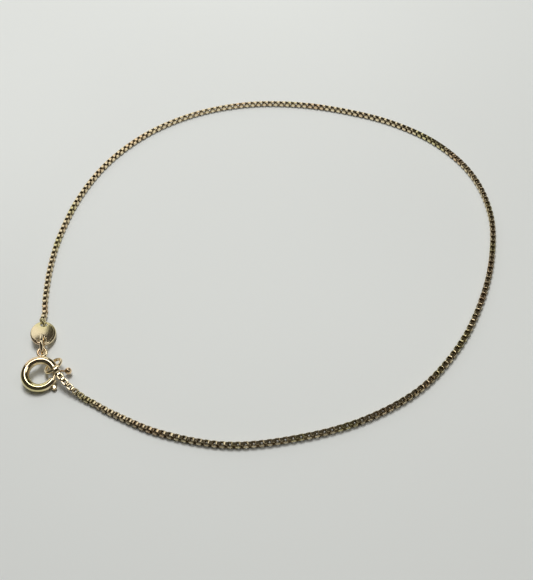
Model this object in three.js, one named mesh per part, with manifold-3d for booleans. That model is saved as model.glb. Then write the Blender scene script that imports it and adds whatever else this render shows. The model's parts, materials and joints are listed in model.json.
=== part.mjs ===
// Chain anklet, fastened and lying on a flat surface: a box chain with an oval tag at one end
// and a plain ring at the other, closed by a spring ring clasp.
// Millimetres, +Z up, the surface at z = 0, the origin under the middle of the whole anklet.

import * as THREE from 'three';
import { mergeVertices } from 'three/addons/utils/BufferGeometryUtils.js';
import Module from 'manifold-3d';

const wasm = await Module();
wasm.setup();

// Box chain: the fine links have this outer width, and the tube of the same size stands for them.
const CHAIN = { width: 0.9, chamfer: 0.16, steps: 80 };

// The chain's middle line, clockwise from the tag to the clasp, seen from above.
// bearing: degrees clockwise from the -X direction; radius: from the loop's centre;
// height: of the chain's middle above the surface.
const ROUTE = [
  { bearing: -13.95, radius: 39.22, height: 0.72 },
  { bearing: -12, radius: 38.96, height: 0.52 },
  { bearing: -7.3, radius: 38.5, height: 0.45 },
  { bearing: 3, radius: 37.7, height: 0.45 },
  { bearing: 15, radius: 37.41, height: 0.45 },
  { bearing: 30, radius: 37.81, height: 0.45 },
  { bearing: 45, radius: 38.61, height: 0.45 },
  { bearing: 60, radius: 39.08, height: 0.45 },
  { bearing: 75, radius: 38.9, height: 0.45 },
  { bearing: 90, radius: 38.17, height: 0.45 },
  { bearing: 105, radius: 37.3, height: 0.45 },
  { bearing: 120, radius: 36.98, height: 0.45 },
  { bearing: 135, radius: 37.66, height: 0.45 },
  { bearing: 150, radius: 38.57, height: 0.45 },
  { bearing: 165, radius: 38.87, height: 0.45 },
  { bearing: 180, radius: 38.23, height: 0.45 },
  { bearing: 195, radius: 37.17, height: 0.45 },
  { bearing: 210, radius: 36.8, height: 0.45 },
  { bearing: 225, radius: 37.27, height: 0.45 },
  { bearing: 240, radius: 38, height: 0.45 },
  { bearing: 255, radius: 38.07, height: 0.45 },
  { bearing: 270, radius: 38.2, height: 0.45 },
  { bearing: 285, radius: 39.05, height: 0.45 },
  { bearing: 300, radius: 39.45, height: 0.45 },
  { bearing: 311.5, radius: 39.88, height: 0.45 },
  { bearing: 317.3, radius: 40.33, height: 0.45 },
  { bearing: 319.7, radius: 40.66, height: 0.52 },
  { bearing: 321.8, radius: 40.88, height: 0.77 },
  { bearing: 323.8, radius: 41.12, height: 1.15 },
  { bearing: 325.4, radius: 41.25, height: 1.52 },
  { bearing: 327.3, radius: 41.28, height: 1.86 },
  { bearing: 328.67, radius: 41.09, height: 2.03 },
];

// Spring ring clasp. Angles are counterclockwise in the ring's own plane, where 90 is its raised side.
const CLASP = {
  centre: [-38.03, -21.03, 1.27],
  radius: 2.3,
  tube: 0.655,
  bore: 0.42,
  turn: 21,
  rise: 15.5,
  gapFrom: -50,
  gapTo: -6,
  boreDepth: 94,
  socketDepth: 8,
};
const SLOT = { width: 0.56, end: 16 };
const EYE = { angle: 63.1, radius: 0.67, wire: 0.22, reach: 3.59 };
const LUG = { angle: -70, radius: 0.4, width: 0.62, reach: 3.28 };
const BOLT = { wire: 0.25, from: -53, to: 62 };
const TRIGGER = { rootAngle: -15, angle: -20, reach: 4.34, stem: 0.15, ball: 0.55 };

// Rings of round wire. lean is from the vertical, rise from the surface, towards the bearing turn.
const JOINING_RING = { centre: [-37.73, -15.98, 1.93], radius: 1.6, wire: 0.27, turn: 3, lean: 9 };
const END_RING = { centre: [-35.973, -19.876, 1.348], radius: 1.435, wire: 0.25, turn: -38, rise: 31.4 };
const TAG_RING = { centre: [-38.12, -10.55, 0.9], radius: 0.68, wire: 0.19, turn: 12, lean: 6 };

// Oval tag: a thin domed plate with a hole near each end.
const TAG = {
  centre: [-37.94, -12.86, 1.2],
  length: 5.1,
  width: 4.05,
  thickness: 0.42,
  dome: 0.34,
  hole: 0.56,
  holeInset: 0.86,
  turn: 1,
  roll: 15,
  pitch: -5,
};

const GOLD = { color: 0xd2b375, roughness: 0.16, metalness: 1 };
const WORN_GOLD = { color: 0xc9ae74, roughness: 0.3, metalness: 1 };

const RING_STEPS = 28;
const WIRE_SIDES = 10;

const rad = THREE.MathUtils.degToRad;

// A solid for cutting and joining, made from any closed geometry, whichever way its faces point.
function solid(geometry) {
  const bare = new THREE.BufferGeometry();
  bare.setAttribute('position', geometry.attributes.position.clone());
  if (geometry.index) bare.setIndex(geometry.index.clone());
  const merged = mergeVertices(bare, 1e-5);
  const points = merged.attributes.position;
  const corners = [...merged.index.array];
  if (signedVolume(points, corners) < 0) corners.reverse();
  const mesh = new wasm.Mesh({
    numProp: 3,
    vertProperties: new Float32Array(points.array),
    triVerts: new Uint32Array(corners),
  });
  return new wasm.Manifold(mesh);
}

function signedVolume(points, corners) {
  const [a, b, c] = [new THREE.Vector3(), new THREE.Vector3(), new THREE.Vector3()];
  let total = 0;
  for (let i = 0; i < corners.length; i += 3) {
    a.fromBufferAttribute(points, corners[i]);
    b.fromBufferAttribute(points, corners[i + 1]);
    c.fromBufferAttribute(points, corners[i + 2]);
    total += a.dot(b.cross(c)) / 6;
  }
  return total;
}

function geometryOf(body) {
  const mesh = body.getMesh();
  const geometry = new THREE.BufferGeometry();
  geometry.setAttribute('position', new THREE.BufferAttribute(new Float32Array(mesh.vertProperties), 3));
  geometry.setIndex(new THREE.BufferAttribute(new Uint32Array(mesh.triVerts), 1));
  geometry.computeVertexNormals();
  return geometry;
}

// A circle's arc in the XY plane, between two angles in degrees.
class Arc extends THREE.Curve {
  constructor(radius, from, to) {
    super();
    this.radius = radius;
    this.from = from;
    this.to = to;
  }

  getPoint(t, target = new THREE.Vector3()) {
    const angle = rad(this.from + t * (this.to - this.from));
    return target.set(this.radius * Math.cos(angle), this.radius * Math.sin(angle), 0);
  }
}

function regularSection(radius, sides) {
  const corners = [];
  for (let i = 0; i < sides; i += 1) {
    const angle = (2 * Math.PI * (i + 0.5)) / sides;
    corners.push(new THREE.Vector2(radius * Math.cos(angle), radius * Math.sin(angle)));
  }
  return new THREE.Shape(corners);
}

function chamferedSquare(width, chamfer) {
  const half = width / 2;
  const inner = half - chamfer;
  return new THREE.Shape([
    new THREE.Vector2(half, -inner),
    new THREE.Vector2(half, inner),
    new THREE.Vector2(inner, half),
    new THREE.Vector2(-inner, half),
    new THREE.Vector2(-half, inner),
    new THREE.Vector2(-half, -inner),
    new THREE.Vector2(-inner, -half),
    new THREE.Vector2(inner, -half),
  ]);
}

function sweep(section, path, steps) {
  return new THREE.ExtrudeGeometry(section, { steps, bevelEnabled: false, extrudePath: path });
}

// A round bar bent along an arc, with about one step for every degreesPerStep.
function bentBar(radius, barRadius, from, to, sides = 14, degreesPerStep = 8) {
  const steps = Math.ceil((to - from) / degreesPerStep);
  return sweep(regularSection(barRadius, sides), new Arc(radius, from, to), steps);
}

function wireRing(radius, wire) {
  return new THREE.TorusGeometry(radius, wire, WIRE_SIDES, RING_STEPS);
}

// A round rod from one point to another.
function rod(from, to, radius, sides) {
  const length = from.distanceTo(to);
  const geometry = new THREE.CylinderGeometry(radius, radius, length, sides);
  const along = new THREE.Vector3().subVectors(to, from).normalize();
  const turn = new THREE.Quaternion().setFromUnitVectors(new THREE.Vector3(0, 1, 0), along);
  geometry.applyQuaternion(turn);
  geometry.translate(...new THREE.Vector3().addVectors(from, to).multiplyScalar(0.5).toArray());
  return geometry;
}

function polar(radius, angle) {
  return new THREE.Vector3(radius * Math.cos(rad(angle)), radius * Math.sin(rad(angle)), 0);
}

function chainPath() {
  const points = ROUTE.map(({ bearing, radius, height }) => {
    const angle = rad(bearing);
    return new THREE.Vector3(-radius * Math.cos(angle), radius * Math.sin(angle), height);
  });
  const path = new THREE.CatmullRomCurve3(points, false, 'catmullrom', 0.5);
  path.arcLengthDivisions = 2000;
  return path;
}

function chainGeometry() {
  return sweep(chamferedSquare(CHAIN.width, CHAIN.chamfer), chainPath(), CHAIN.steps);
}

// The clasp's hollow tube, open at the gap, with the trigger's slot cut through its outer side,
// and the eye and the thumb lug soldered on.
function claspBodyGeometry() {
  const { radius, tube, bore, gapFrom, gapTo, boreDepth, socketDepth } = CLASP;
  const overrun = 6;
  const outer = solid(bentBar(radius, tube, gapTo, 360 + gapFrom, 16, 7));
  const boltBore = solid(bentBar(radius, bore, gapTo - overrun, gapTo + boreDepth, 12));
  const socket = solid(bentBar(radius, bore, gapFrom - socketDepth, gapFrom + overrun, 12, 4));
  const slotPath = new Arc(radius + tube, gapTo - overrun, SLOT.end);
  const slotSection = new THREE.Shape([
    new THREE.Vector2(-SLOT.width / 2, -tube),
    new THREE.Vector2(SLOT.width / 2, -tube),
    new THREE.Vector2(SLOT.width / 2, tube),
    new THREE.Vector2(-SLOT.width / 2, tube),
  ]);
  const slot = solid(sweep(slotSection, slotPath, 6));
  const eyeRing = wireRing(EYE.radius, EYE.wire);
  eyeRing.translate(...polar(EYE.reach, EYE.angle).toArray());
  const lug = new THREE.CylinderGeometry(LUG.radius, LUG.radius, LUG.width, 16);
  lug.rotateX(Math.PI / 2);
  lug.translate(...polar(LUG.reach, LUG.angle).toArray());
  const body = outer.add(solid(eyeRing)).add(solid(lug));
  return geometryOf(body.subtract(boltBore).subtract(socket).subtract(slot));
}

// The sprung bolt: a curved wire inside the tube and across the gap, and the trigger's stem and ball.
function claspBoltGeometry() {
  const wire = solid(bentBar(CLASP.radius, BOLT.wire, BOLT.from, BOLT.to, 12, 6));
  const root = polar(CLASP.radius, TRIGGER.rootAngle);
  const end = polar(TRIGGER.reach, TRIGGER.angle);
  const stem = solid(rod(root, end, TRIGGER.stem, 10));
  const ball = new THREE.SphereGeometry(TRIGGER.ball, 20, 14);
  ball.translate(...end.toArray());
  return geometryOf(wire.add(stem).add(solid(ball)));
}

// The tag's dome is a turned plate stretched into an oval, its hollow side down.
function tagGeometry() {
  const { length, width, thickness, dome, hole, holeInset } = TAG;
  const rings = 5;
  const top = [];
  const bottom = [];
  for (let i = 0; i <= rings; i += 1) {
    const share = i / rings;
    const height = dome * (0.5 - share * share);
    top.push(new THREE.Vector2((share * width) / 2, height + thickness / 2));
    bottom.push(new THREE.Vector2((share * width) / 2, height - thickness / 2));
  }
  const plate = new THREE.LatheGeometry([...bottom, ...top.reverse()], 36);
  plate.rotateX(Math.PI / 2);
  plate.scale(1, length / width, 1);
  const holes = [-1, 1].map((end) => {
    const drill = new THREE.CylinderGeometry(hole, hole, 4 * thickness, 18);
    drill.rotateX(Math.PI / 2);
    drill.translate(0, end * (length / 2 - holeInset), 0);
    return solid(drill);
  });
  return geometryOf(solid(plate).subtract(holes[0]).subtract(holes[1]));
}

function piece(name, geometry, finish) {
  const mesh = new THREE.Mesh(geometry, new THREE.MeshStandardMaterial(finish));
  mesh.name = name;
  return mesh;
}

// Pieces at a place, turned about +Z and tilted about their own X and Y axes.
function placed(pieces, centre, turn, tiltX, tiltY) {
  const tilted = new THREE.Group();
  tilted.rotation.set(rad(tiltX), rad(tiltY), 0);
  tilted.add(...pieces);
  const turned = new THREE.Group();
  turned.position.set(...centre);
  turned.rotation.z = rad(turn);
  turned.add(tilted);
  return turned;
}

function uprightRing(name, ring) {
  const geometry = wireRing(ring.radius, ring.wire);
  geometry.rotateY(Math.PI / 2);
  return placed([piece(name, geometry, GOLD)], ring.centre, ring.turn, 0, ring.lean);
}

const loop = new THREE.Group();
loop.add(piece('chain', chainGeometry(), WORN_GOLD));
loop.add(uprightRing('tag_ring', TAG_RING));
loop.add(placed([piece('tag', tagGeometry(), WORN_GOLD)], TAG.centre, TAG.turn, TAG.pitch, TAG.roll));
loop.add(uprightRing('joining_ring', JOINING_RING));
const clasp = [piece('clasp_body', claspBodyGeometry(), GOLD), piece('clasp_bolt', claspBoltGeometry(), GOLD)];
loop.add(placed(clasp, CLASP.centre, CLASP.turn, CLASP.rise, 0));
const endRing = piece('end_ring', wireRing(END_RING.radius, END_RING.wire), GOLD);
loop.add(placed([endRing], END_RING.centre, END_RING.turn, 0, -END_RING.rise));

// The origin is set under the middle of the anklet's own box.
const box = new THREE.Box3().setFromObject(loop, true);
const middle = box.getCenter(new THREE.Vector3());
loop.position.set(-middle.x, -middle.y, -box.min.z);

const anklet = new THREE.Group();
anklet.add(loop);

export default anklet;
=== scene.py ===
import json
import math

import bmesh
import bpy
from mathutils import Matrix, Vector
from mathutils.geometry import delaunay_2d_cdt


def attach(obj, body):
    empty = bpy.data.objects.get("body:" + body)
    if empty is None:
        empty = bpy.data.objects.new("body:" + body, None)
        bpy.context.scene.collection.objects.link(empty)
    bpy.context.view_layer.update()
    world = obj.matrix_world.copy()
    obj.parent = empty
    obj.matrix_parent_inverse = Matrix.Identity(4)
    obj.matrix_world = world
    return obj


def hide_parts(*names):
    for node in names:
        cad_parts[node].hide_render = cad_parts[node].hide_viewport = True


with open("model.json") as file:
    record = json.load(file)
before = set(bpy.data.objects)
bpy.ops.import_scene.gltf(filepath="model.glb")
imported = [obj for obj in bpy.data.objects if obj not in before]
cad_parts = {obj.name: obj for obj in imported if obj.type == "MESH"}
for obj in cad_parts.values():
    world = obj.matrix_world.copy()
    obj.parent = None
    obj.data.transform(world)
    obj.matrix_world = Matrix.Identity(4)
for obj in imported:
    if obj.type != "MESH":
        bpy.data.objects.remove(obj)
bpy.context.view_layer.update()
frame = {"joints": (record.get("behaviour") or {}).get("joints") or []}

bl_info = {
    "name": "Chain Anklet",
    "version": (1, 0, 0),
    "blender": (4, 5, 0),
    "location": "3D View > Sidebar > Anklet",
    "description": "Dresses the packed chain anklet: links, rings, tag and clasp in gold",
    "category": "Object",
}

MM = 0.001
UP = Vector((0, 0, 1))

# The spring ring clasp. Angles are counterclockwise in its own plane, where 90 is its raised side.
CLASP_CENTRE = Vector((-38.03, -21.03, 1.27)) * MM
CLASP_TURN = 21.0
CLASP_RISE = 15.5
CLASP_RADIUS = 2.3 * MM
TUBE_RADIUS = 0.655 * MM
TUBE_BORE = 0.45 * MM
GAP_FROM = -50.0
GAP_TO = -6.0
SLOT_WIDTH = 0.54 * MM
SLOT_END = 15.5
EYE_ANGLE = 63.1
EYE_REACH = 3.59 * MM
EYE_RADIUS = 0.67 * MM
EYE_WIRE = 0.22 * MM
LUG_ANGLE = -70.0
LUG_REACH = 3.28 * MM
LUG_RADIUS = 0.4 * MM
LUG_WIDTH = 0.62 * MM
LUG_EASE = 0.16 * MM
TUBE_EASE = 0.045 * MM

# The sprung bolt and its trigger.
BOLT_WIRE = 0.25 * MM
BOLT_FROM = -53.0
BOLT_TO = 62.0
TRIGGER_ROOT = -15.0
TRIGGER_ANGLE = -20.0
TRIGGER_REACH = 4.34 * MM
STEM_RADIUS = 0.15 * MM
BALL_RADIUS = 0.55 * MM
NECK_RADIUS = 0.13 * MM

# The part's joint turns the bolt about the clasp's centre, so that point also gives
# where the loop's own middle lies in the frame.
LOOP_MIDDLE = Vector(frame["joints"][0]["pos_m"]) - CLASP_CENTRE

# Rings of round wire. tilt_y leans an upright ring from the vertical, or lifts a lying one.
RINGS = {
    "tag_ring": {
        "centre": (-38.12, -10.55, 0.9),
        "radius": 0.68,
        "wire": 0.19,
        "turn": 12.0,
        "tilt_y": 6.0,
        "upright": True,
    },
    "joining_ring": {
        "centre": (-37.73, -15.98, 1.93),
        "radius": 1.6,
        "wire": 0.27,
        "turn": 3.0,
        "tilt_y": 9.0,
        "upright": True,
    },
    "end_ring": {
        "centre": (-35.973, -19.876, 1.348),
        "radius": 1.435,
        "wire": 0.25,
        "turn": -38.0,
        "tilt_y": -31.4,
        "upright": False,
    },
}

# How finely a ring is made, and the share by which its wire narrows where it is soldered.
RING_STEPS = 120
RING_SIDES = 28
RING_SEAM = 0.1

# The oval tag: a thin domed plate with a hole near each end. Its edges are round, and its upper face
# has a low lip a little way in from the outline.
TAG_CENTRE = (-37.94, -12.86, 1.2)
TAG_TURN = 1.0
TAG_ROLL = 15.0
TAG_PITCH = -5.0
TAG_LENGTH = 5.1 * MM
TAG_WIDTH = 4.05 * MM
TAG_THICKNESS = 0.42 * MM
TAG_DOME = 0.34 * MM
TAG_HOLE = 0.56 * MM
TAG_HOLE_INSET = 0.86 * MM
TAG_EDGE = 0.15 * MM
TAG_LIP = 0.035 * MM
TAG_LIP_INSET = 0.24 * MM
TAG_LIP_WIDTH = 0.1 * MM
TAG_RIM_POINTS = 96
TAG_HOLE_POINTS = 40
TAG_SPACING = 0.11 * MM

# A link of the chain: the radius of its bent corners and how far its strip's outer edges are eased.
LINK_CORNER = 0.2 * MM
LINK_EASE = 0.045 * MM

# How much painted shade, with some tarnish, darkens each kind of a link's faces: most inside the links and
# at their ends, in the chain's hollows.
LINK_SHADE_AND_TARNISH = {"inside": 1.0, "end": 0.95, "corner": 0.5, "strip_edge": 0.3, "plate": 0.0}

# The chain's middle line on the surface, clockwise from the tag to the clasp, in millimetres.
# bearing: degrees clockwise from the -X direction; radius: from the loop's middle;
# height: of the chain's middle above the surface.
ROUTE = (
    {"bearing": -12, "radius": 38.96, "height": 0.52},
    {"bearing": -7.3, "radius": 38.5, "height": 0.45},
    {"bearing": 3, "radius": 37.7, "height": 0.45},
    {"bearing": 15, "radius": 37.41, "height": 0.45},
    {"bearing": 30, "radius": 37.81, "height": 0.45},
    {"bearing": 45, "radius": 38.61, "height": 0.45},
    {"bearing": 60, "radius": 39.08, "height": 0.45},
    {"bearing": 75, "radius": 38.9, "height": 0.45},
    {"bearing": 90, "radius": 38.17, "height": 0.45},
    {"bearing": 105, "radius": 37.3, "height": 0.45},
    {"bearing": 120, "radius": 36.98, "height": 0.45},
    {"bearing": 135, "radius": 37.66, "height": 0.45},
    {"bearing": 150, "radius": 38.57, "height": 0.45},
    {"bearing": 165, "radius": 38.87, "height": 0.45},
    {"bearing": 180, "radius": 38.23, "height": 0.45},
    {"bearing": 195, "radius": 37.17, "height": 0.45},
    {"bearing": 210, "radius": 36.8, "height": 0.45},
    {"bearing": 225, "radius": 37.27, "height": 0.45},
    {"bearing": 240, "radius": 38.0, "height": 0.45},
    {"bearing": 255, "radius": 38.07, "height": 0.45},
    {"bearing": 270, "radius": 38.2, "height": 0.45},
    {"bearing": 285, "radius": 39.05, "height": 0.45},
    {"bearing": 300, "radius": 39.45, "height": 0.45},
    {"bearing": 311.5, "radius": 39.88, "height": 0.45},
    {"bearing": 317.3, "radius": 40.33, "height": 0.45},
    {"bearing": 319.7, "radius": 40.66, "height": 0.52},
    {"bearing": 321.8, "radius": 40.88, "height": 0.77},
    {"bearing": 323.8, "radius": 41.12, "height": 1.15},
    {"bearing": 325.4, "radius": 41.25, "height": 1.52},
    {"bearing": 327.3, "radius": 41.28, "height": 1.86},
)
ROUTE_STEPS = 24

# Where the chain's first and last link hang, in degrees round the ring's own circle.
TAG_RING_HOOK = 90.0
END_RING_HOOK = -23.0

# The photograph's camera, seen from the loop's middle.
CAMERA_PLACE = Vector((-1.397, -106.405, 115.33)) * MM
CAMERA_DOWN = 49.957
CAMERA_ROLL = -8.0017
FOCAL_PIXELS = 916.74
IMAGE_LONG_SIDE = 580
SENSOR_WIDTH = 36.0

# The soft lights stand round a point near the clasp's side of the loop. azimuth: degrees from straight
# behind, towards +X; distance and size in metres; mirrored: whether it is seen in the gold.
LIGHT_AIM = LOOP_MIDDLE + Vector((-20, -5, 0)) * MM
LIGHTS = {
    "top": {
        "azimuth": 0,
        "elevation": 85,
        "distance": 0.4,
        "size": (0.11, 0.11),
        "colour": (1.0, 0.99, 0.97),
        "mirrored": True,
    },
    "window": {
        "azimuth": -17,
        "elevation": 28,
        "distance": 0.5,
        "size": (0.5, 0.5),
        "colour": (1.0, 1.0, 0.96),
        "mirrored": True,
    },
    "side": {
        "azimuth": 104,
        "elevation": 52,
        "distance": 0.4,
        "size": (0.14, 0.2),
        "colour": (1.0, 0.96, 0.9),
        "mirrored": True,
    },
    "floor": {
        "azimuth": 8,
        "elevation": 66,
        "distance": 0.4,
        "size": (0.14, 0.14),
        "colour": (1.0, 0.99, 0.97),
        "mirrored": False,
    },
}
ROOM_COLOUR = (1.0, 0.93, 0.82)
FLOOR_HALF = 1.5

# How many times in a metre each pattern of the gold and of the floor comes back.
PATCHES = 160.0
FLECKS = 2600.0
SCRATCHES = 9000.0
DENTS = 1500.0
FLOOR_CLOUDS = 9.0

# Each kind of gold: its lowest and highest roughness, how its scratches are stretched along X, Y and Z,
# the strength of its scratches and dents, and the attribute that says how much painted shade, with some
# tarnish, darkens it.
FINISHES = {
    "chain": {"gleam": (0.08, 0.16), "scratch_run": (1.0, 1.0, 1.0), "relief": 0.06, "shade_and_tarnish_attribute": "tarnish"},
    "tag": {"gleam": (0.12, 0.3), "scratch_run": (1.0, 0.12, 1.0), "relief": 0.6, "shade_and_tarnish_attribute": None},
    "clasp": {"gleam": (0.03, 0.08), "scratch_run": (1.0, 1.0, 0.4), "relief": 0.006, "shade_and_tarnish_attribute": None},
    "ring": {"gleam": (0.04, 0.1), "scratch_run": (1.0, 0.5, 1.0), "relief": 0.01, "shade_and_tarnish_attribute": None},
}

# An edge bent by this many degrees or more is drawn sharp, unless a piece says otherwise.
SHARP_EDGE = 40.0

# A piece with fewer faces than this was not made.
FEWEST_FACES = 1000


def turned(axis, degrees):
    return Matrix.Rotation(math.radians(degrees), 4, axis)


def placed(centre, turn, tilt_x, tilt_y):
    """Where a piece modelled round its own middle goes: tilted about Y, then X, then turned about Z."""
    turns = turned("Z", turn) @ turned("X", tilt_x) @ turned("Y", tilt_y)
    return Matrix.Translation(LOOP_MIDDLE + centre) @ turns


def ring_place(name):
    """The place of a ring that is modelled lying in its own XY plane."""
    ring = RINGS[name]
    place = placed(Vector(ring["centre"]) * MM, ring["turn"], 0.0, ring["tilt_y"])
    return place @ turned("Y", 90) if ring["upright"] else place


CLASP_PLACE = placed(CLASP_CENTRE, CLASP_TURN, CLASP_RISE, 0.0)
TAG_PLACE = placed(Vector(TAG_CENTRE) * MM, TAG_TURN, TAG_PITCH, TAG_ROLL)


def polar(radius, degrees, height=0.0):
    angle = math.radians(degrees)
    return Vector((radius * math.cos(angle), radius * math.sin(angle), height))


def spaced(first, last, count):
    """Evenly spaced numbers, both ends included."""
    return [first + (last - first) * i / (count - 1) for i in range(count)]


def round_angles(count):
    """Degrees spaced evenly round a circle."""
    return [360.0 * i / count for i in range(count)]


# What a user would change


class AnkletChainSettings(bpy.types.PropertyGroup):
    width: bpy.props.FloatProperty(
        name="Link Width",
        description="Outside width and height of a link, and so of the chain",
        default=0.9 * MM,
        min=0.3 * MM,
        unit="LENGTH",
        precision=5,
    )
    length: bpy.props.FloatProperty(
        name="Link Length",
        description="Outside length of a link along the chain",
        default=0.9 * MM,
        min=0.3 * MM,
        unit="LENGTH",
        precision=5,
    )
    pitch: bpy.props.FloatProperty(
        name="Pitch",
        description="Distance from the middle of a link to the middle of the next",
        default=0.575 * MM,
        min=0.2 * MM,
        unit="LENGTH",
        precision=5,
    )
    strip: bpy.props.FloatProperty(
        name="Strip Width",
        description="Width of the flat strip that a link is bent from",
        default=0.54 * MM,
        min=0.1 * MM,
        unit="LENGTH",
        precision=5,
    )
    wall: bpy.props.FloatProperty(
        name="Strip Thickness",
        description="Thickness of the flat strip that a link is bent from",
        default=0.15 * MM,
        min=0.05 * MM,
        unit="LENGTH",
        precision=5,
    )
    wobble: bpy.props.FloatProperty(
        name="Wobble",
        description="How far each link is turned at random from its true place",
        default=math.radians(2.2),
        min=0.0,
        subtype="ANGLE",
    )
    seed: bpy.props.IntProperty(name="Seed", description="Seed of the links' wobble", default=7)


class AnkletGoldSettings(bpy.types.PropertyGroup):
    pale: bpy.props.FloatVectorProperty(
        name="Pale Gold",
        description="Colour of the gold where it is clean",
        subtype="COLOR",
        size=3,
        default=(0.96, 0.81, 0.54),
    )
    warm: bpy.props.FloatVectorProperty(
        name="Warm Gold",
        description="Colour of the redder patches of the gold",
        subtype="COLOR",
        size=3,
        default=(0.88, 0.66, 0.42),
    )
    green: bpy.props.FloatVectorProperty(
        name="Green Gold",
        description="Colour of the greener patches of the gold",
        subtype="COLOR",
        size=3,
        default=(0.83, 0.74, 0.4),
    )
    # Also the colour of the painted shade in the links' hollows, besides the grime in the scratches.
    grime_and_shade: bpy.props.FloatVectorProperty(
        name="Grime",
        description="Colour of the tarnish inside the links and in the scratches",
        subtype="COLOR",
        size=3,
        default=(0.17, 0.11, 0.045),
    )


class AnkletStageSettings(bpy.types.PropertyGroup):
    floor_colour: bpy.props.FloatVectorProperty(
        name="Floor",
        description="Colour of the surface that the anklet lies on",
        subtype="COLOR",
        size=3,
        default=(0.755, 0.78, 0.77),
    )
    floor_power: bpy.props.FloatProperty(
        name="Floor Light",
        description="Power of the soft light that brightens the surface and casts the shadows",
        default=1.03,
        min=0.0,
        unit="POWER",
    )
    top_power: bpy.props.FloatProperty(
        name="Top Light",
        description="Power of the small soft light high above, seen as a thin line in the gold",
        default=0.2,
        min=0.0,
        unit="POWER",
    )
    window_power: bpy.props.FloatProperty(
        name="Window Light",
        description="Power of the large soft light behind the anklet",
        default=0.68,
        min=0.0,
        unit="POWER",
    )
    side_power: bpy.props.FloatProperty(
        name="Side Light",
        description="Power of the small soft light at the side away from the clasp",
        default=0.14,
        min=0.0,
        unit="POWER",
    )
    room: bpy.props.FloatProperty(
        name="Room",
        description="Brightness of the dim room round the anklet",
        default=0.045,
        min=0.0,
    )


# Node trees, for shaders and for geometry


class Signal:
    """The value of a node's output, with arithmetic on it."""

    def __init__(self, nodes, socket):
        self.nodes = nodes
        self.socket = socket

    def joined(self, operation, first, second):
        return self.nodes.add("ShaderNodeMath", {"operation": operation}, {0: first, 1: second})

    def __add__(self, other):
        return self.joined("ADD", self, other)

    __radd__ = __add__

    def __sub__(self, other):
        return self.joined("SUBTRACT", self, other)

    def __rsub__(self, other):
        return self.joined("SUBTRACT", other, self)

    def __mul__(self, other):
        return self.joined("MULTIPLY", self, other)

    __rmul__ = __mul__

    def __mod__(self, other):
        return self.joined("MODULO", self, other)

    def __rmod__(self, other):
        return self.joined("MODULO", other, self)

    def between(self, low, high):
        """0 below low, 1 above high and a smooth step between them."""
        settings = {"interpolation_type": "SMOOTHSTEP"}
        sockets = {"Value": self, "From Min": low, "From Max": high}
        return self.nodes.add("ShaderNodeMapRange", settings, sockets)


class Nodes:
    """Adds nodes to a tree: settings first, then each socket's value or link."""

    def __init__(self, tree):
        self.tree = tree

    def add(self, kind, settings=None, sockets=None, output=0):
        node = self.tree.nodes.new(kind)
        for name, value in (settings or {}).items():
            setattr(node, name, value)
        self.feed(node, sockets or {})
        return Signal(self, node.outputs[output]) if len(node.outputs) else node

    def feed(self, node, sockets):
        """Sets sockets of a node, named or numbered, to a value, or links a signal to them."""
        for name, value in sockets.items():
            if isinstance(value, Signal):
                self.tree.links.new(value.socket, node.inputs[name])
            else:
                node.inputs[name].default_value = value

    def mixed(self, share, first, second):
        """A colour between two colours."""
        sockets = {"Factor": share, 6: first, 7: second}
        return self.add("ShaderNodeMix", {"data_type": "RGBA"}, sockets, output=2)

    def scaled(self, vector, factors):
        return self.add("ShaderNodeVectorMath", {"operation": "MULTIPLY"}, {0: vector, 1: factors})

    def noise(self, place, per_metre, detail=2.0, roughness=0.5):
        sockets = {"Vector": place, "Scale": per_metre, "Detail": detail, "Roughness": roughness}
        return self.add("ShaderNodeTexNoise", {}, sockets)


def opaque(colour):
    return (*colour, 1.0)


def new_material(name):
    """A material with a bare Principled shader, and its nodes, the shader's node and Object coordinates."""
    material = bpy.data.materials.new(name)
    material.use_nodes = True
    material.node_tree.nodes.clear()
    nodes = Nodes(material.node_tree)
    shader = nodes.add("ShaderNodeBsdfPrincipled")
    nodes.add("ShaderNodeOutputMaterial", {}, {"Surface": shader})
    place = nodes.add("ShaderNodeTexCoord", output="Object")
    return material, nodes, shader.socket.node, place


def gold(name, gleam, scratch_run, relief, shade_and_tarnish_attribute):
    """Polished gold with warmer and greener patches, grime in fine scratches, small dents, and painted shade
    with some tarnish where an attribute says.
    """
    settings = bpy.context.scene.anklet_gold
    material, nodes, shader, place = new_material(name)
    patches = nodes.noise(place, PATCHES, 1.0)
    flecks = nodes.noise(place, FLECKS, 2.0)
    colour = nodes.mixed(patches.between(0.52, 0.66), opaque(settings.pale), opaque(settings.warm))
    colour = nodes.mixed((1 - patches).between(0.54, 0.68), colour, opaque(settings.green))
    scratches = nodes.noise(nodes.scaled(place, scratch_run), SCRATCHES, 3.0, 0.65)
    grime_and_shade = scratches.between(0.6, 0.78) * 0.35
    low, high = gleam
    rough = low + (high - low) * (0.5 * scratches + 0.5 * flecks)
    # Painted shade, with some tarnish, darkens and roughens the gold where the attribute says.
    if shade_and_tarnish_attribute:
        tarnish = nodes.add("ShaderNodeAttribute", {"attribute_name": shade_and_tarnish_attribute}, {}, output="Fac")
        grime_and_shade = grime_and_shade + tarnish * (0.62 + 0.35 * flecks)
        rough = rough + tarnish * 0.25
    colour = nodes.mixed(grime_and_shade, colour, opaque(settings.grime_and_shade))
    dents = nodes.noise(place, DENTS, 1.0)
    height = scratches * 0.6 + dents * 0.8
    sockets = {"Strength": relief, "Distance": 0.02 * MM, "Height": height}
    bump = nodes.add("ShaderNodeBump", {}, sockets)
    nodes.feed(shader, {"Base Color": colour, "Metallic": 1.0, "Roughness": rough, "Normal": bump})
    return material


def finish_of(kind):
    """The gold of each kind of piece, made once."""
    name = "worn_" + kind
    return bpy.data.materials.get(name) or gold(name, **FINISHES[kind])


# Meshes


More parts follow.
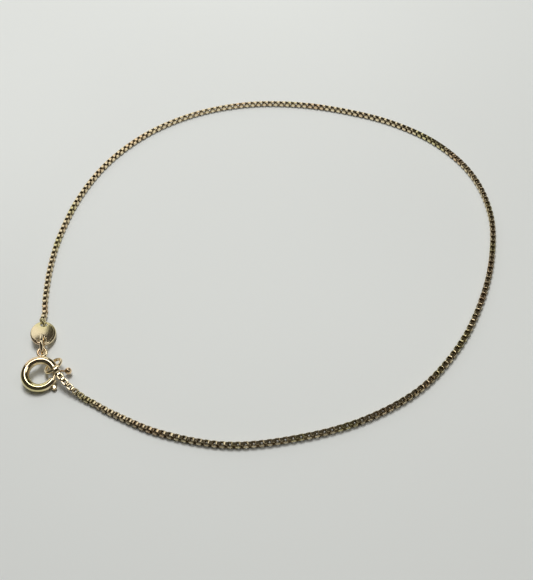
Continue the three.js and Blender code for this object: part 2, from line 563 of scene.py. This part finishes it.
class Shell:
    """Points and faces of a piece, gathered row by row."""

    def __init__(self):
        self.points = []
        self.faces = []

    def grid(self, rows, wrap_rows=False, skip=None):
        """Faces between rows of points. skip says which faces, by row and column, are left open."""
        start = len(self.points)
        columns = len(rows[0])
        for row in rows:
            self.points.extend(row)
        for i in range(len(rows) if wrap_rows else len(rows) - 1):
            for j in range(columns):
                if skip and skip(i, j):
                    continue
                here = start + i * columns
                there = start + ((i + 1) % len(rows)) * columns
                k = (j + 1) % columns
                self.faces.append((here + j, here + k, there + k, there + j))
        return start

    def lid(self, indices):
        """A fan of faces that closes a round of points."""
        middle = sum((self.points[i] for i in indices), Vector()) / len(indices)
        self.points.append(middle)
        for a, b in zip(indices, indices[1:] + indices[:1]):
            self.faces.append((a, b, len(self.points) - 1))


def mesh_object(name, shell, place=None, sharp=SHARP_EDGE):
    """An object from a shell: doubles merged, faces outwards, smooth up to an angle, its place kept in
    its mesh.
    """
    mesh = bpy.data.meshes.new(name)
    mesh.from_pydata([tuple(p / MM) for p in shell.points], [], shell.faces)
    body = bmesh.new()
    body.from_mesh(mesh)
    bmesh.ops.remove_doubles(body, verts=body.verts, dist=1e-5)
    bmesh.ops.dissolve_degenerate(body, edges=body.edges, dist=1e-6)
    bmesh.ops.recalc_face_normals(body, faces=body.faces)
    bmesh.ops.scale(body, vec=Vector((MM, MM, MM)), verts=body.verts)
    if place:
        body.transform(place)
    set_smooth(body, sharp)
    body.to_mesh(mesh)
    body.free()
    piece = bpy.data.objects.new(name, mesh)
    bpy.context.scene.collection.objects.link(piece)
    return piece


def set_smooth(body, sharp):
    limit = math.radians(sharp)
    for face in body.faces:
        face.smooth = True
    for edge in body.edges:
        edge.smooth = len(edge.link_faces) == 2 and edge.calc_face_angle(0.0) < limit


def baked(piece):
    """The piece's mesh with its modifiers applied."""
    bpy.context.view_layer.update()
    graph = bpy.context.evaluated_depsgraph_get()
    mesh = bpy.data.meshes.new_from_object(piece.evaluated_get(graph))
    old = piece.data
    piece.modifiers.clear()
    if isinstance(old, bpy.types.Mesh):
        piece.data = mesh
        bpy.data.meshes.remove(old)
        return piece
    name = piece.name
    bpy.data.objects.remove(piece)
    made = bpy.data.objects.new(name, mesh)
    bpy.context.scene.collection.objects.link(made)
    return made


def fused(main, others):
    """One closed body from a piece and those that are soldered to it."""
    for other in others:
        join = main.modifiers.new("Solder", "BOOLEAN")
        join.operation = "UNION"
        join.solver = "EXACT"
        join.object = other
    main = baked(main)
    for other in others:
        bpy.data.objects.remove(other)
    body = bmesh.new()
    body.from_mesh(main.data)
    set_smooth(body, SHARP_EDGE)
    body.to_mesh(main.data)
    body.free()
    return main


def rounded_edges(piece, width):
    """The piece with its sharp edges rounded."""
    bevel = piece.modifiers.new("Rounded Edges", "BEVEL")
    bevel.width = width
    bevel.segments = 3
    bevel.limit_method = "ANGLE"
    bevel.angle_limit = math.radians(50)
    bevel.use_clamp_overlap = True
    return baked(piece)


def finished(piece, kind, body, node):
    """Gives a piece its gold, lets it ride on its body and stand for its solid."""
    if len(piece.data.polygons) < FEWEST_FACES:
        raise RuntimeError(piece.name + " was not made")
    piece.data.materials.clear()
    piece.data.materials.append(finish_of(kind))
    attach(piece, body)
    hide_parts(node)


def section_row(centre, outward, up, radius, angles):
    """A round section: angle 0 is outward, 90 is up."""
    row = []
    for degrees in angles:
        angle = math.radians(degrees)
        row.append(centre + radius * (math.cos(angle) * outward + math.sin(angle) * up))
    return row


def bent_rod(bend, radius, start, end, steps, sides, tip):
    """A round rod bent along an arc in the XY plane, closed at both ends, with a round tip at its start."""
    shell = Shell()
    angles = round_angles(sides)
    rows = []
    for i in range(tip):
        turn = 90.0 * (i + 1) / (tip + 1)
        ahead = radius * math.cos(math.radians(turn))
        narrow = radius * math.sin(math.radians(turn))
        at = start - math.degrees(ahead / bend)
        rows.append(section_row(polar(bend, at), polar(1, at), UP, narrow, angles))
    for at in spaced(start, end, steps):
        rows.append(section_row(polar(bend, at), polar(1, at), UP, radius, angles))
    first = shell.grid(rows)
    shell.lid(list(range(first, first + sides)))
    last = first + (len(rows) - 1) * sides
    shell.lid(list(range(last, last + sides)))
    return shell


def turned_shell(profile, start, along, sides):
    """A body turned about a line: profile gives how far along the line and how far from it."""
    across = along.orthogonal().normalized()
    other = along.cross(across)
    angles = round_angles(sides)
    shell = Shell()
    rows = []
    for reach, radius in profile:
        rows.append(section_row(start + reach * along, across, other, radius, angles))
    first = shell.grid(rows)
    shell.lid(list(range(first, first + sides)))
    last = first + (len(rows) - 1) * sides
    shell.lid(list(range(last, last + sides)))
    return shell


# Box chain


def route_points():
    """The chain's middle line, from its hook in the tag's ring to its hook in the end ring."""
    points = [ring_hook("tag_ring", TAG_RING_HOOK)]
    for row in ROUTE:
        x = -row["radius"] * math.cos(math.radians(row["bearing"]))
        y = row["radius"] * math.sin(math.radians(row["bearing"]))
        points.append(LOOP_MIDDLE + Vector((x, y, row["height"])) * MM)
    points.append(ring_hook("end_ring", END_RING_HOOK))
    return points


def ring_hook(name, degrees):
    return ring_place(name) @ polar(RINGS[name]["radius"] * MM, degrees)


def smooth_route(points):
    """A Catmull-Rom line through the points, with even steps between each two."""
    ends = [2 * points[0] - points[1], *points, 2 * points[-1] - points[-2]]
    line = []
    for a, b, c, d in zip(ends, ends[1:], ends[2:], ends[3:]):
        for i in range(ROUTE_STEPS):
            t = i / ROUTE_STEPS
            first = (c - a) * t
            second = (2 * a - 5 * b + 4 * c - d) * t * t
            third = (3 * b - a - 3 * c + d) * t**3
            line.append(0.5 * (2 * b + first + second + third))
    line.append(points[-1])
    return line


def link_mesh(chain):
    """One link: a flat strip bent into a square ring in the XZ plane, its corners and edges round."""
    half_length = chain.length / 2 - LINK_CORNER
    half_height = chain.width / 2 - LINK_CORNER
    half_strip = chain.strip / 2
    section = (
        (LINK_CORNER - chain.wall, -half_strip),
        (LINK_CORNER - LINK_EASE, -half_strip),
        (LINK_CORNER, -half_strip + LINK_EASE),
        (LINK_CORNER, half_strip - LINK_EASE),
        (LINK_CORNER - LINK_EASE, half_strip),
        (LINK_CORNER - chain.wall, half_strip),
    )
    rows = []
    for quarter, (along, up) in enumerate(((1, 1), (-1, 1), (-1, -1), (1, -1))):
        for step in range(3):
            angle = math.radians(90 * quarter + 45 * step)
            out = Vector((math.cos(angle), 0, math.sin(angle)))
            bend = Vector((along * half_length, 0, up * half_height))
            rows.append([bend + out * reach + Vector((0, side, 0)) for reach, side in section])
    shell = Shell()
    shell.grid(rows, wrap_rows=True)
    link = mesh_object("link", shell, sharp=60.0)
    mark_link(link.data, chain)
    return link


def mark_link(mesh, chain):
    """Marks how much painted shade, with some tarnish, darkens each face, most in the link's hollows, and
    keeps the creases along the strip sharp.
    """
    shade_marks = mesh.attributes.new("tarnish", "FLOAT", "FACE")
    edge_band = chain.strip / 2 - 0.01 * MM
    flat_end = chain.length / 2 - LINK_CORNER
    past_corner = flat_end + 0.11 * MM
    for face in mesh.polygons:
        from_middle = Vector((face.center.x, 0, face.center.z)).normalized()
        if face.normal.dot(from_middle) < -0.5:
            place = "inside"
        elif abs(face.center.x) > past_corner:
            place = "end"
        elif abs(face.center.x) > flat_end:
            place = "corner"
        elif abs(face.center.y) > edge_band:
            place = "strip_edge"
        else:
            place = "plate"
        # Faces inside a link and at its ends sit in the chain's hollows and get the most painted shade.
        shade_marks.data[face.index].value = LINK_SHADE_AND_TARNISH[place]
    for edge in mesh.edges:
        a, b = (mesh.vertices[i].co for i in edge.vertices)
        edge.use_edge_sharp = abs(a.y - b.y) < 1e-7


def tree_with(name, sockets, result):
    """An empty Geometry Nodes tree with named inputs: the tree, its nodes and a signal for each input."""
    tree = bpy.data.node_groups.new(name, "GeometryNodeTree")
    for label, kind in sockets:
        tree.interface.new_socket(name=label, in_out="INPUT", socket_type="NodeSocket" + kind)
    tree.interface.new_socket(name=result, in_out="OUTPUT", socket_type="NodeSocketGeometry")
    nodes = Nodes(tree)
    given = nodes.add("NodeGroupInput").socket.node
    return tree, nodes, [Signal(nodes, given.outputs[label]) for label, _ in sockets]


def end_tree(nodes, shape, material, result):
    """Ends a tree: its shape made real, in its gold, under the result's name."""
    solid = nodes.add("GeometryNodeRealizeInstances", {}, {"Geometry": shape})
    dressed = nodes.add("GeometryNodeSetMaterial", {}, {"Geometry": solid, "Material": material})
    nodes.add("NodeGroupOutput", {}, {result: dressed})


def chain_tree():
    """Geometry Nodes that set links along a line, every second one turned a quarter, each a little askew."""
    sockets = (
        ("Line", "Geometry"),
        ("Link", "Object"),
        ("Count", "Int"),
        ("Wobble", "Float"),
        ("Seed", "Int"),
        ("Gold", "Material"),
    )
    tree, nodes, (line, link, count, wobble, seed, material) = tree_with("Box Chain", sockets, "Chain")
    points = nodes.add("GeometryNodeCurveToPoints", {"mode": "COUNT"}, {"Curve": line, "Count": count})
    tangent = Signal(nodes, points.socket.node.outputs["Tangent"])
    side = nodes.add("ShaderNodeVectorMath", {"operation": "CROSS_PRODUCT"}, {0: UP, 1: tangent})
    facing = nodes.add(
        "FunctionNodeAxesToRotation",
        {"primary_axis": "X", "secondary_axis": "Y"},
        {"Primary Axis": tangent, "Secondary Axis": side},
    )
    odd = (nodes.add("GeometryNodeInputIndex") + 1) % 2
    quarter = nodes.add("ShaderNodeCombineXYZ", {}, {"X": odd * (math.pi / 2)})
    reach = nodes.add("ShaderNodeCombineXYZ", {}, {"X": wobble, "Y": wobble, "Z": wobble})
    back = nodes.add("ShaderNodeVectorMath", {"operation": "SCALE"}, {0: reach, "Scale": -1.0})
    askew = nodes.add(
        "FunctionNodeRandomValue",
        {"data_type": "FLOAT_VECTOR"},
        {"Min": back, "Max": reach, "Seed": seed},
    )
    for angles in (quarter, askew):
        extra = nodes.add("FunctionNodeEulerToRotation", {}, {0: angles})
        facing = nodes.add(
            "FunctionNodeRotateRotation",
            {"rotation_space": "LOCAL"},
            {"Rotation": facing, "Rotate By": extra},
        )
    info = {"transform_space": "ORIGINAL"}
    shape = nodes.add("GeometryNodeObjectInfo", info, {"Object": link}, output="Geometry")
    sockets = {"Points": points, "Instance": shape, "Rotation": facing}
    end_tree(nodes, nodes.add("GeometryNodeInstanceOnPoints", {}, sockets), material, "Chain")
    return tree


def grown(piece, tree, values):
    """Sets a Geometry Nodes tree and its named inputs on a piece, and bakes the result."""
    grow = piece.modifiers.new(tree.name, "NODES")
    grow.node_group = tree
    for item in tree.interface.items_tree:
        if item.in_out == "INPUT" and item.name in values:
            grow[item.identifier] = values[item.name]
    return baked(piece)


def line_object(name, points):
    """A curve object of straight lines through the points."""
    curve = bpy.data.curves.new(name, "CURVE")
    curve.dimensions = "3D"
    spline = curve.splines.new("POLY")
    spline.points.add(len(points) - 1)
    for end, point in zip(spline.points, points):
        end.co = (*point, 1.0)
    piece = bpy.data.objects.new(name, curve)
    bpy.context.scene.collection.objects.link(piece)
    return piece


class ANKLET_OT_chain(bpy.types.Operator):
    """Set the box chain's links along the route"""

    bl_idname = "anklet.chain"
    bl_label = "Box Chain"

    def execute(self, context):
        chain = context.scene.anklet_chain
        points = smooth_route(route_points())
        length = sum((b - a).length for a, b in zip(points, points[1:]))
        count = 2 * round((length / chain.pitch + 1) / 2)
        link = link_mesh(chain)
        values = {
            "Link": link,
            "Count": count,
            "Wobble": chain.wobble,
            "Seed": chain.seed,
            "Gold": finish_of("chain"),
        }
        piece = grown(line_object("box_chain", points), chain_tree(), values)
        bpy.data.objects.remove(link)
        finished(piece, "chain", "anklet", "chain")
        return {"FINISHED"}


# Rings of round wire


def ring_tree():
    """Geometry Nodes for a ring of round wire, a little narrower where its ends are soldered."""
    sockets = (
        ("Line", "Geometry"),
        ("Radius", "Float"),
        ("Wire", "Float"),
        ("Steps", "Int"),
        ("Sides", "Int"),
        ("Seam", "Float"),
        ("Gold", "Material"),
    )
    tree, nodes, signals = tree_with("Wire Ring", sockets, "Ring")
    _, radius, wire, steps, sides, seam, material = signals
    by_radius = {"mode": "RADIUS"}
    kind = "GeometryNodeCurvePrimitiveCircle"
    circle = nodes.add(kind, by_radius, {"Resolution": steps, "Radius": radius})
    first_point = {0: nodes.add("GeometryNodeInputIndex"), 1: 0.0, 2: 0.5}
    at_seam = nodes.add("ShaderNodeMath", {"operation": "COMPARE"}, first_point)
    circle = nodes.add("GeometryNodeSetCurveRadius", {}, {"Curve": circle, "Radius": 1 - at_seam * seam})
    section = nodes.add(kind, by_radius, {"Resolution": sides, "Radius": wire})
    tube = nodes.add("GeometryNodeCurveToMesh", {}, {"Curve": circle, "Profile Curve": section})
    smooth = nodes.add("GeometryNodeSetShadeSmooth", {}, {"Geometry": tube, "Shade Smooth": True})
    end_tree(nodes, smooth, material, "Ring")
    return tree


class ANKLET_OT_rings(bpy.types.Operator):
    """Make the tag's ring, the joining ring and the end ring of round wire"""

    bl_idname = "anklet.rings"
    bl_label = "Wire Rings"

    def execute(self, context):
        tree = ring_tree()
        for name, ring in RINGS.items():
            start = mesh_object(name + "_wire", point_shell())
            values = {
                "Radius": ring["radius"] * MM,
                "Wire": ring["wire"] * MM,
                "Steps": RING_STEPS,
                "Sides": RING_SIDES,
                "Seam": RING_SEAM,
                "Gold": finish_of("ring"),
            }
            piece = grown(start, tree, values)
            piece.data.transform(ring_place(name))
            finished(piece, "ring", "anklet", name)
        return {"FINISHED"}


def point_shell():
    """A single point, for a tree that makes its own shape."""
    shell = Shell()
    shell.points.append(Vector())
    return shell


# Oval tag


def oval_row(inset, count):
    """Points round the tag's outline, set in from it by a distance."""
    a = TAG_WIDTH / 2 - inset
    b = TAG_LENGTH / 2 - inset
    turns = [math.radians(at) for at in round_angles(count)]
    return [Vector((a * math.cos(turn), b * math.sin(turn))) for turn in turns]


def hole_middles():
    reach = TAG_LENGTH / 2 - TAG_HOLE_INSET
    return (Vector((0, -reach)), Vector((0, reach)))


def edge_distance(point):
    """How far in a point of the tag lies from its outline, and how far out from the nearest hole."""
    a, b = TAG_WIDTH / 2, TAG_LENGTH / 2
    share = math.hypot(point.x / a, point.y / b)
    slope = math.hypot(point.x / (a * a), point.y / (b * b)) / max(share, 1e-6)
    rim = (1 - share) / max(slope, 1e-6)
    holes = min((point - middle).length - TAG_HOLE for middle in hole_middles())
    return max(0.0, rim), max(0.0, holes)


def eased(distance, radius):
    """How far a rounded edge falls away, at a distance in from the edge."""
    if distance >= radius:
        return 0.0
    return radius - math.sqrt(max(0.0, radius * radius - (radius - distance) ** 2))


def tag_plan():
    """Points and triangles of the tag's plan: close rows along its outline and holes, even rows between."""
    insets = [TAG_EDGE * share for share in (0, 0.08, 0.25, 0.5, 1.0, 1.7)]
    rows = [oval_row(inset, TAG_RIM_POINTS) for inset in insets]
    for middle in hole_middles():
        for inset in insets[:5]:
            turns = round_angles(TAG_HOLE_POINTS)
            rows.append([middle + polar(TAG_HOLE + inset, at).to_2d() for at in turns])
    points = []
    edges = []
    for row in rows:
        start = len(points)
        points.extend(row)
        edges.extend((start + i, start + (i + 1) % len(row)) for i in range(len(row)))
    across = int(TAG_WIDTH / TAG_SPACING)
    down = int(TAG_LENGTH / TAG_SPACING)
    for i in range(-across, across + 1):
        for j in range(-down, down + 1):
            point = Vector(((i + 0.5 * (j % 2)) * TAG_SPACING, j * TAG_SPACING * 0.87))
            if math.hypot(point.x / TAG_WIDTH, point.y / TAG_LENGTH) > 0.499:
                continue
            rim, hole = edge_distance(point)
            if rim > 2.1 * TAG_EDGE and hole > 1.5 * TAG_EDGE:
                points.append(point)
    flat = [p / MM for p in points]
    flat, _, triangles, _, _, _ = delaunay_2d_cdt(flat, edges, [], 0, 1e-5)
    kept = []
    for triangle in triangles:
        middle = sum((flat[i] for i in triangle), Vector((0, 0))) * MM / 3
        if all((middle - hole).length > TAG_HOLE * 0.999 for hole in hole_middles()):
            kept.append(triangle)
    return [p * MM for p in flat], kept


def tag_height(point, side):
    """Height of the tag's upper (1) or lower (-1) face, domed, with a raised lip and round edges."""
    share = math.hypot(2 * point.x / TAG_WIDTH, 2 * point.y / TAG_LENGTH)
    middle = TAG_DOME * (0.5 - min(1.0, share) ** 2)
    rim, hole = edge_distance(point)
    lip = TAG_LIP * math.exp(-(((rim - TAG_LIP_INSET) / TAG_LIP_WIDTH) ** 2)) if side > 0 else 0.0
    fall = eased(rim, TAG_EDGE) + eased(hole, 0.6 * TAG_EDGE)
    return middle + side * (TAG_THICKNESS / 2 - TAG_LIP - fall) + lip


def tag_shell():
    """The tag's upper and lower faces, joined along its outline and holes."""
    points, triangles = tag_plan()
    shell = Shell()
    for side in (1, -1):
        for point in points:
            shell.points.append(Vector((point.x, point.y, tag_height(point, side))))
    count = len(points)
    uses = {}
    for a, b, c in triangles:
        shell.faces.append((a, b, c))
        shell.faces.append((count + c, count + b, count + a))
        for edge in ((a, b), (b, c), (c, a)):
            uses.setdefault(frozenset(edge), []).append(edge)
    for edges in uses.values():
        if len(edges) == 1:
            a, b = edges[0]
            shell.faces.append((b, a, count + a, count + b))
    return shell


class ANKLET_OT_tag(bpy.types.Operator):
    """Make the domed oval tag with its two holes"""

    bl_idname = "anklet.tag"
    bl_label = "Oval Tag"

    def execute(self, context):
        piece = mesh_object("oval_tag", tag_shell(), TAG_PLACE, sharp=80.0)
        finished(piece, "tag", "anklet", "tag")
        return {"FINISHED"}


# Spring ring clasp


def tube_shell():
    """The clasp's hollow tube: an outer and an inner skin, open at the gap and along the trigger's slot."""
    slot_columns = 8
    slot_rows = 6
    half_slot = math.degrees(math.asin(SLOT_WIDTH / 2 / TUBE_RADIUS))
    round_end = SLOT_WIDTH / 2
    back = math.degrees(round_end / CLASP_RADIUS)
    slot_sides = spaced(-half_slot, half_slot, slot_columns + 1)
    sides = slot_sides + spaced(half_slot, 360 - half_slot, 30)[1:-1]
    slot_turns = spaced(GAP_TO, SLOT_END - back - 0.5, slot_rows)
    turns = slot_turns + spaced(SLOT_END, 360 + GAP_FROM, 100)
    shell = Shell()
    starts = []
    for radius in (TUBE_RADIUS, TUBE_BORE):
        rows = []
        for i, turn in enumerate(turns):
            row = []
            for side in sides:
                at = turn
                offset = abs(side) / half_slot * round_end
                if i == slot_rows and abs(side) <= half_slot:
                    at -= math.degrees((round_end - math.sqrt(round_end**2 - offset**2)) / CLASP_RADIUS)
                row.extend(section_row(polar(CLASP_RADIUS, at), polar(1, at), UP, radius, [side]))
            rows.append(row)
        starts.append(shell.grid(rows, skip=lambda i, j: i < slot_rows and j < slot_columns))
    bridge(shell, starts, len(turns), len(sides))
    return shell


def bridge(shell, starts, rows, columns):
    """Joins the open edges of two matching skins with faces."""
    outer, inner = starts
    size = rows * columns
    uses = {}
    for face in shell.faces:
        if max(face) < outer + size and min(face) >= outer:
            for a, b in zip(face, face[1:] + face[:1]):
                uses.setdefault(frozenset((a, b)), []).append((a, b))
    for edges in uses.values():
        if len(edges) == 1:
            a, b = edges[0]
            shell.faces.append((b, a, a - outer + inner, b - outer + inner))


def eye_shell():
    """The eye: a closed ring of wire beside the tube, in the clasp's plane."""
    rows = []
    for at in round_angles(56):
        centre = polar(EYE_REACH, EYE_ANGLE) + polar(EYE_RADIUS, at)
        rows.append(section_row(centre, polar(1, at), UP, EYE_WIRE, round_angles(20)))
    shell = Shell()
    shell.grid(rows, wrap_rows=True)
    return shell


def lug_shell():
    """The thumb lug: a short drum across the clasp's plane, its ends eased."""
    half = LUG_WIDTH / 2
    profile = [(-half, 0.6 * LUG_RADIUS)]
    for turn in spaced(0, math.pi / 2, 7):
        radius = LUG_RADIUS - LUG_EASE * (1 - math.sin(turn))
        profile.append((-half + LUG_EASE * (1 - math.cos(turn)), radius))
    profile += [(-reach, radius) for reach, radius in reversed(profile)]
    return turned_shell(profile, polar(LUG_REACH, LUG_ANGLE), UP, 32)


class ANKLET_OT_clasp(bpy.types.Operator):
    """Make the clasp's hollow ring with its eye and thumb lug"""

    bl_idname = "anklet.clasp"
    bl_label = "Clasp Body"

    def execute(self, context):
        tube = rounded_edges(mesh_object("spring_ring", tube_shell()), TUBE_EASE)
        eye = mesh_object("eye", eye_shell())
        lug = mesh_object("lug", lug_shell())
        piece = fused(tube, [eye, lug])
        piece.data.transform(CLASP_PLACE)
        finished(piece, "clasp", "anklet", "clasp_body")
        return {"FINISHED"}


def trigger_shell():
    """The trigger: a thin stem that widens in a hollow neck to a ball."""
    root = polar(CLASP_RADIUS, TRIGGER_ROOT)
    along = polar(TRIGGER_REACH, TRIGGER_ANGLE) - root
    reach = along.length
    bend = BALL_RADIUS + NECK_RADIUS
    touch = math.asin((STEM_RADIUS + NECK_RADIUS) / bend)
    neck_middle = reach - bend * math.cos(touch)
    profile = [(0.0, STEM_RADIUS)]
    for turn in spaced(0, math.pi / 2 - touch, 7):
        radius = STEM_RADIUS + NECK_RADIUS * (1 - math.cos(turn))
        profile.append((neck_middle + NECK_RADIUS * math.sin(turn), radius))
    for turn in spaced(touch, math.pi - 0.03, 22)[1:]:
        profile.append((reach - BALL_RADIUS * math.cos(turn), BALL_RADIUS * math.sin(turn)))
    return turned_shell(profile, root, along.normalized(), 36)


class ANKLET_OT_bolt(bpy.types.Operator):
    """Make the sprung bolt with its trigger's stem and ball"""

    bl_idname = "anklet.bolt"
    bl_label = "Clasp Bolt"

    def execute(self, context):
        rod = bent_rod(CLASP_RADIUS, BOLT_WIRE, BOLT_FROM, BOLT_TO, steps=60, sides=24, tip=5)
        wire = mesh_object("spring_bolt", rod)
        piece = fused(wire, [mesh_object("trigger", trigger_shell())])
        piece.data.transform(CLASP_PLACE)
        finished(piece, "clasp", "bolt", "clasp_bolt")
        return {"FINISHED"}


# Floor, lights and camera


def floor_material(settings):
    """A pale matt surface, very slightly clouded."""
    material, nodes, shader, place = new_material("pale_floor")
    clouds = nodes.noise(place, FLOOR_CLOUDS, 1.0)
    dull = opaque([0.96 * c for c in settings.floor_colour])
    shade = nodes.mixed(clouds.between(0.35, 0.65), dull, opaque(settings.floor_colour))
    nodes.feed(shader, {"Base Color": shade, "Roughness": 0.55})
    return material


def soft_light(name, power):
    """One of the soft lights, at its place and facing the point that they stand round."""
    light = LIGHTS[name]
    turn = math.radians(light["azimuth"])
    rise = math.radians(light["elevation"])
    away = Vector((math.sin(turn) * math.cos(rise), math.cos(turn) * math.cos(rise), math.sin(rise)))
    lamp = bpy.data.lights.new(name + "_light", "AREA")
    lamp.shape = "RECTANGLE"
    lamp.size, lamp.size_y = light["size"]
    lamp.energy = power
    lamp.color = light["colour"]
    stand = bpy.data.objects.new(name + "_light", lamp)
    stand.location = LIGHT_AIM + light["distance"] * away
    stand.rotation_euler = away.to_track_quat("Z", "Y").to_euler()
    stand.visible_glossy = light["mirrored"]
    bpy.context.scene.collection.objects.link(stand)


def add_camera():
    """The photograph's camera: where it stood, how far it looked down and how it was rolled."""
    down = math.radians(CAMERA_DOWN)
    roll = math.radians(CAMERA_ROLL)
    level = Vector((1, 0, 0))
    upright = Vector((0, math.sin(down), math.cos(down)))
    ahead = Vector((0, math.cos(down), -math.sin(down)))
    right = math.cos(roll) * level + math.sin(roll) * upright
    up = math.cos(roll) * upright - math.sin(roll) * level
    lens = bpy.data.cameras.new("photo_camera")
    lens.sensor_width = SENSOR_WIDTH
    lens.lens = FOCAL_PIXELS / IMAGE_LONG_SIDE * SENSOR_WIDTH
    lens.clip_start = 0.01
    camera = bpy.data.objects.new("photo_camera", lens)
    turn = Matrix((right, up, -ahead)).transposed().to_4x4()
    camera.matrix_world = Matrix.Translation(LOOP_MIDDLE + CAMERA_PLACE) @ turn
    bpy.context.scene.collection.objects.link(camera)
    bpy.context.scene.camera = camera


class ANKLET_OT_stage(bpy.types.Operator):
    """Set out the pale floor, the soft lights and the camera"""

    bl_idname = "anklet.stage"
    bl_label = "Stage"

    def execute(self, context):
        settings = context.scene.anklet_stage
        corners = ((-1, -1), (1, -1), (1, 1), (-1, 1))
        shell = Shell()
        shell.points = [Vector((x, y, 0)) * FLOOR_HALF for x, y in corners]
        shell.faces = [(0, 1, 2, 3)]
        floor = mesh_object("pale_floor", shell)
        floor.data.materials.append(floor_material(settings))
        for name in LIGHTS:
            soft_light(name, getattr(settings, name + "_power"))
        world = bpy.data.worlds.new("plain_room")
        world.use_nodes = True
        background = world.node_tree.nodes["Background"]
        background.inputs["Color"].default_value = opaque(ROOM_COLOUR)
        background.inputs["Strength"].default_value = settings.room
        context.scene.world = world
        context.scene.view_settings.view_transform = "Standard"
        add_camera()
        if context.scene.camera is None:
            raise RuntimeError("the camera was not set")
        return {"FINISHED"}


class ANKLET_PT_workshop(bpy.types.Panel):
    """The sidebar panel with a button for each operator and all the settings"""

    bl_label = "Chain Anklet"
    bl_idname = "ANKLET_PT_workshop"
    bl_space_type = "VIEW_3D"
    bl_region_type = "UI"
    bl_category = "Anklet"

    def draw(self, context):
        layout = self.layout
        scene = context.scene
        for operator in OPERATORS:
            layout.operator(operator.bl_idname)
        for settings in (scene.anklet_chain, scene.anklet_gold, scene.anklet_stage):
            box = layout.box()
            for name in settings.bl_rna.properties.keys():
                if name not in ("rna_type", "name"):
                    box.prop(settings, name)


OPERATORS = (
    ANKLET_OT_stage,
    ANKLET_OT_chain,
    ANKLET_OT_rings,
    ANKLET_OT_tag,
    ANKLET_OT_clasp,
    ANKLET_OT_bolt,
)
SETTINGS = (AnkletChainSettings, AnkletGoldSettings, AnkletStageSettings)
CLASSES = (*SETTINGS, *OPERATORS, ANKLET_PT_workshop)


def register():
    for made in CLASSES:
        bpy.utils.register_class(made)
    bpy.types.Scene.anklet_chain = bpy.props.PointerProperty(type=AnkletChainSettings)
    bpy.types.Scene.anklet_gold = bpy.props.PointerProperty(type=AnkletGoldSettings)
    bpy.types.Scene.anklet_stage = bpy.props.PointerProperty(type=AnkletStageSettings)


def unregister():
    del bpy.types.Scene.anklet_stage
    del bpy.types.Scene.anklet_gold
    del bpy.types.Scene.anklet_chain
    for made in reversed(CLASSES):
        bpy.utils.unregister_class(made)


def main():
    register()
    for operator in OPERATORS:
        group, name = operator.bl_idname.split(".")
        getattr(getattr(bpy.ops, group), name)()
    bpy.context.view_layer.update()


if __name__ == "__main__":
    main()
